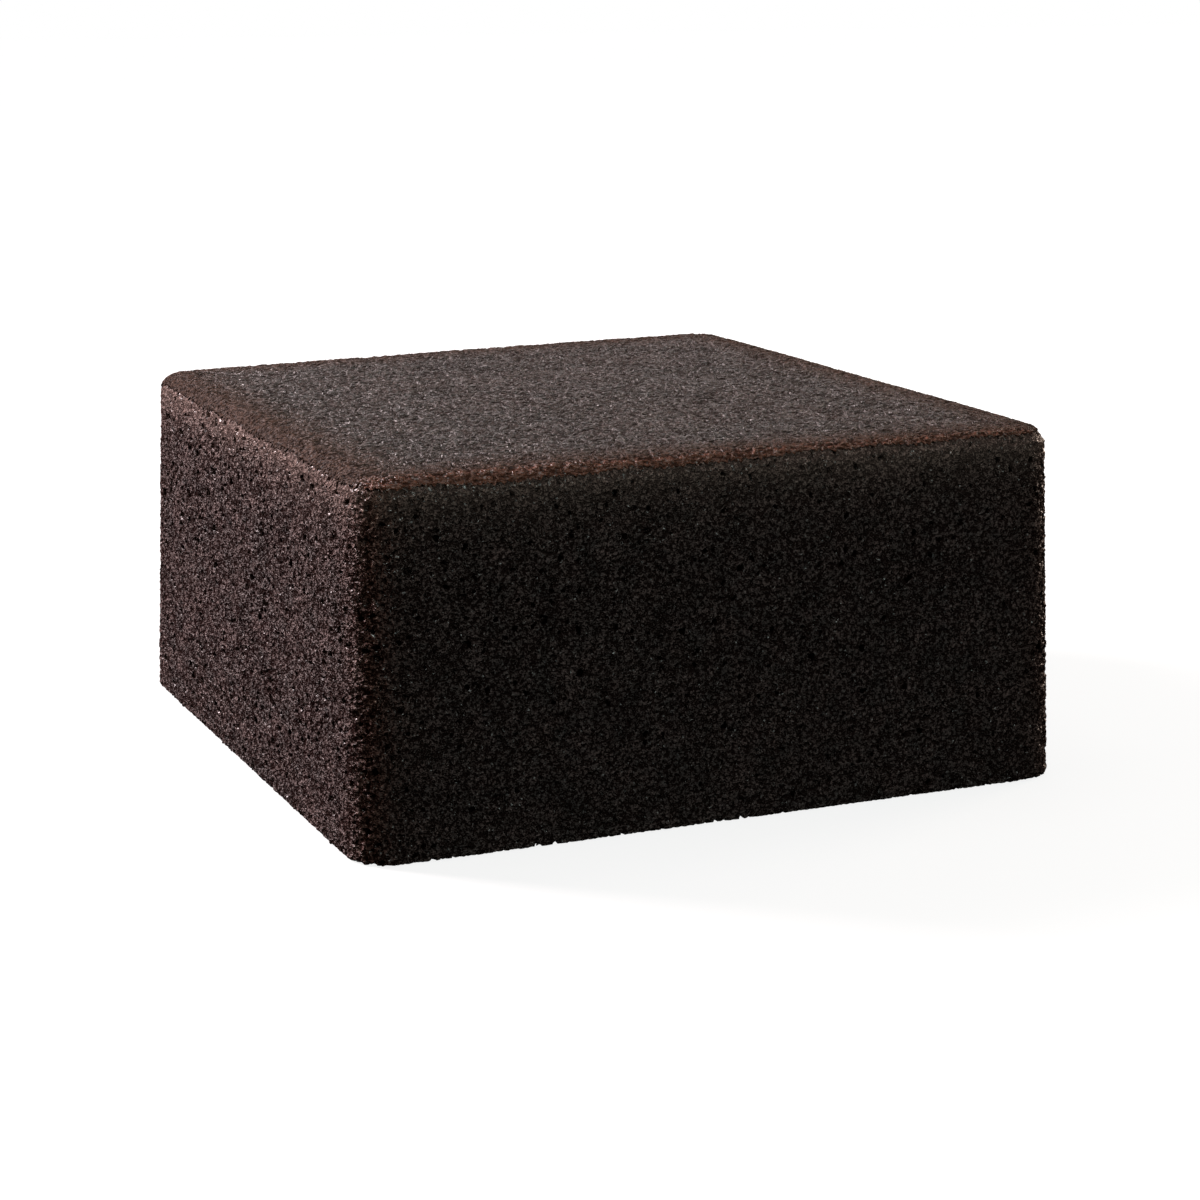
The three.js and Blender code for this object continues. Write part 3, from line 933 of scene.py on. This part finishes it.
def new_material(name):
    material = bpy.data.materials.new(name)
    material.use_nodes = True
    tree = material.node_tree
    place = add(tree, "ShaderNodeTexCoord").outputs["Object"]
    return material, tree, tree.nodes["Principled BSDF"], place


def crumb_grain(tree, place):
    """Crumb finer than the mesh: small lumps with gaps between them. Gives its height, from 0 to 1."""
    wobbly = warped(tree, place, *CRUMB_GRAIN_WOBBLE)
    lump = between(tree, cells(tree, wobbly, CRUMB_CELL)["Distance"], *CRUMB_CELL_EDGE)
    grain = between(tree, noise(tree, place, CRUMB_GRAIN, 1.0)["Fac"], *NOISE_SPAN)
    lumps = maths(tree, "MULTIPLY", lump, SHARE_OF_LUMPS)
    return maths(tree, "ADD", lumps, maths(tree, "MULTIPLY", grain, 1 - SHARE_OF_LUMPS))


def crumb_material(specks, patches):
    """Crumb: browner at the upright corners, partly baked browning and partly a painted glow of light; paler
    near the top with painted light from above; and painted shade in its pores and gaps.
    """
    material, tree, shader, place = new_material("mud cake crumb")
    place = drawn_out(tree, place)
    grain = crumb_grain(tree, place)
    hollow, near_top = number(tree, "hollow"), number(tree, "near_top")
    near_corner = number(tree, "near_corner")

    shades = {"Place": place, "Size": CRUMB_PATCH, "Dark": CRUMB_DARK, "Light": CRUMB_LIGHT}
    base = group(tree, patches, shades)["Color"]
    # Browner at the corners: baked browning and a painted glow of light
    base = colour_mix(tree, maths(tree, "MULTIPLY", near_corner, BAKED_AND_GLOW_AT_CORNERS), base, CRUMB_BAKED_AND_GLOW)
    # Painted light near the top
    base = colour_mix(tree, maths(tree, "MULTIPLY", near_top, LIT_AT_TOP), base, CRUMB_TOP_LIT)
    # Painted shade in the grain's gaps and in the pores, weaker near the top
    gap = maths(tree, "MULTIPLY", between(tree, grain, *GAP_SHADE_HEIGHTS), GAP_SHADE_STRENGTH)
    dark = maths(tree, "MAXIMUM", between(tree, hollow, *PIT_SHADE_DEPTHS), gap)
    dark = maths(tree, "MULTIPLY", dark, between(tree, near_top, 0.0, 1.0, 1.0, PIT_SHADE_AT_TOP))
    colour = colour_mix(tree, dark, base, CRUMB_PIT_SHADE)
    colour = colour_mix(tree, between(tree, hollow, *DEEP_SHADE_DEPTHS), colour, CRUMB_DEEP_SHADE)

    mask = group(tree, specks, {"Place": place, "Size": CRUMB_SPECK, "Share": CRUMB_SPECK_SHARE})["Mask"]
    wet = maths(tree, "MULTIPLY", mask, maths(tree, "SUBTRACT", 1.0, dark))
    moister = maths(tree, "ADD", maths(tree, "MULTIPLY", near_corner, MOISTER_AT_CORNERS), near_top)
    relief = {"Height": grain, "Distance": CRUMB_BUMP, "Strength": 1.0}
    finishes = {
        "Base Color": colour,
        "Roughness": between(tree, dark, 0.0, 1.0, *CRUMB_ROUGHNESS),
        "Specular IOR Level": between(tree, dark, 0.0, CRUMB_DULL, *CRUMB_GLOSS),
        "Coat Weight": maths(tree, "MULTIPLY", wet, maths(tree, "ADD", MOIST, moister)),
        "Coat Roughness": CRUMB_COAT_ROUGHNESS,
        "Normal": add(tree, "ShaderNodeBump", relief).outputs[0],
    }
    feed(tree, shader, finishes)
    return material


def skin_material(specks, patches):
    """Skin: painted shade in its creases and slits, dull and brown near its edge, and painted light, lighter
    and redder, where it rolls over the front.
    """
    material, tree, shader, place = new_material("mud cake skin")
    near_edge, crinkle = number(tree, "near_edge"), number(tree, "crinkle")
    rolled = between(tree, number(tree, "rolled"), *ROLL_LIGHTING)
    wobbly = warped(tree, crinkled(tree, place), *SKIN_GRAIN_WOBBLE)
    fine = noise(tree, wobbly, SKIN_GRAIN, 1.0, 0.6)["Fac"]
    fine_crease = between(tree, fine, *FINE_CREASE_SHADE_HEIGHTS, 0.0, FINE_CREASE_SHADE)
    crease = maths(tree, "MAXIMUM", between(tree, crinkle, *CREASE_SHADE_HEIGHTS), fine_crease)

    shades = {"Place": place, "Size": SKIN_PATCH, "Dark": SKIN_DARK, "Light": SKIN_LIGHT}
    base = group(tree, patches, shades)["Color"]
    base = colour_mix(tree, near_edge, base, SKIN_BROWN)
    # Painted light where it rolls over the front
    base = colour_mix(tree, rolled, base, SKIN_ROLLED_LIT)
    # Painted shade in the creases and slits
    colour = colour_mix(tree, maths(tree, "MULTIPLY", crease, CREASE_SHADE_STRENGTH), base, SKIN_CREASE_SHADE)
    colour = colour_mix(tree, between(tree, number(tree, "slit"), *SLIT_SHADING), colour, SLIT_SHADE)

    not_rolled = between(tree, rolled, 0.0, ROLL_GLOSSY, EDGE_DULLNESS, 0.0)
    dull = maths(tree, "MAXIMUM", crease, maths(tree, "MULTIPLY", near_edge, not_rolled))
    mask = group(tree, specks, {"Place": place, "Size": SKIN_SPECK, "Share": SKIN_SPECK_SHARE})["Mask"]
    height = maths(tree, "ADD", fine, maths(tree, "MULTIPLY", crinkle, CRINKLES_IN_BUMP))
    relief = {"Height": height, "Distance": SKIN_BUMP, "Strength": 1.0}
    finishes = {
        "Base Color": colour,
        "Roughness": between(tree, dull, 0.0, 1.0, *SKIN_ROUGHNESS),
        "Specular IOR Level": between(tree, dull, 0.0, 1.0, *SKIN_GLOSS),
        "Coat Weight": maths(tree, "MULTIPLY", mask, maths(tree, "ADD", SKIN_MOIST, rolled)),
        "Coat Roughness": SKIN_COAT_ROUGHNESS,
        "Normal": add(tree, "ShaderNodeBump", relief).outputs[0],
    }
    feed(tree, shader, finishes)
    return material


# ---------------------------------------------------------------- the cake's pieces
def build_walls(pored, crumb):
    walls = []
    for index, wall in enumerate(WALLS):
        for panel in range(PANELS[wall]):
            mesh = panel_mesh(index, panel, PANELS[wall])
            walls.append(made_by(pored, mesh, f"crumb_{wall}_{panel + 1}", {"Material": crumb}))
    return walls


def build_skin(skin):
    wrinkled = skin_tree()
    quarters = []
    for quarter in range(4):
        back_half, right_half = divmod(quarter, 2)
        mesh = skin_mesh(right_half, back_half)
        quarters.append(made_by(wrinkled, mesh, f"top_skin_{quarter + 1}", {"Material": skin}))
    return quarters


def build_cake():
    specks, patches = specks_group(), patches_group()
    crumb, skin = crumb_material(specks, patches), skin_material(specks, patches)
    pored = crumb_tree(pores_tree())
    underneath = {"Material": crumb, "Share of large pores": SHARE_OF_LARGE_PORES_UNDERNEATH}
    pieces = [(wall, "crumb") for wall in build_walls(pored, crumb)]
    pieces.append((made_by(pored, base_mesh(), "base_crumb", underneath), "crumb"))
    pieces += [(quarter, "skin") for quarter in build_skin(skin)]
    loose = made_by(loose_crumb_tree(), ground_mesh(), "loose_crumbs", {"Material": crumb})
    pieces.append((loose, "crumb"))
    for piece, slot in pieces:
        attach(piece, "root")
        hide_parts(NODE)


# ---------------------------------------------------------------- camera, light and floor
def build_camera():
    camera = bpy.data.objects.new("camera", bpy.data.cameras.new("camera"))
    bpy.context.scene.collection.objects.link(camera)
    camera.location = CAMERA_PLACE
    camera.rotation_euler = (math.radians(90 - CAMERA_DIP), 0, math.radians(-CAMERA_TURN))
    camera.data.sensor_width = SENSOR
    camera.data.lens = LENS
    camera.data.clip_start = 0.01
    bpy.context.scene.camera = camera


def build_lights():
    for name, (place, aim, (width, height), power, colour) in LIGHTS.items():
        light = bpy.data.lights.new(name, "AREA")
        light.shape = "RECTANGLE"
        light.size = width
        light.size_y = height
        light.energy = power
        light.color = colour
        lamp = bpy.data.objects.new(name, light)
        bpy.context.scene.collection.objects.link(lamp)
        lamp.location = place
        lamp.rotation_euler = (Vector(aim) - Vector(place)).to_track_quat("-Z", "Y").to_euler()
        lamp.visible_camera = False


def build_world():
    """White behind the cake, and a faint even light on it."""
    world = bpy.data.worlds.new("studio")
    bpy.context.scene.world = world
    world.use_nodes = True
    tree = world.node_tree
    tree.nodes.clear()
    seen = add(tree, "ShaderNodeBackground", {"Color": WHITE, "Strength": 1.0}).outputs[0]
    light = add(tree, "ShaderNodeBackground", {"Color": WHITE, "Strength": EVEN_LIGHT}).outputs[0]
    to_camera = add(tree, "ShaderNodeLightPath").outputs["Is Camera Ray"]
    mix = add(tree, "ShaderNodeMixShader", {0: to_camera, 1: light, 2: seen}).outputs[0]
    add(tree, "ShaderNodeOutputWorld", {"Surface": mix})


def floor_material():
    """Pale floor, which glows softly and turns white away from the cake."""
    material, tree, shader, place = new_material("pale floor")
    away = add(tree, "ShaderNodeVectorMath", {0: place}, operation="LENGTH").outputs["Value"]
    far = between(tree, away, *FLOOR_WHITENING, interpolation_type="SMOOTHSTEP")
    finishes = {
        "Base Color": FLOOR_GREY,
        "Roughness": 0.9,
        "Emission Color": colour_mix(tree, far, FLOOR_NEAR_GLOW, WHITE),
        "Emission Strength": 1.0,
    }
    feed(tree, shader, finishes)
    material.cycles.emission_sampling = "NONE"
    return material


def build_floor():
    mesh = bpy.data.meshes.new("floor")
    signs = [(-1, -1), (1, -1), (1, 1), (-1, 1)]
    corners = [(across * FLOOR_HALF, along * FLOOR_HALF, FLOOR_LEVEL) for across, along in signs]
    mesh.from_pydata(corners, [], [(0, 1, 2, 3)])
    mesh.materials.append(floor_material())
    floor = bpy.data.objects.new("floor", mesh)
    bpy.context.scene.collection.objects.link(floor)
    floor.visible_diffuse = False
    floor.visible_glossy = False


build_camera()
build_lights()
build_world()
build_floor()
build_cake()
bpy.context.scene.view_settings.view_transform = "Standard"
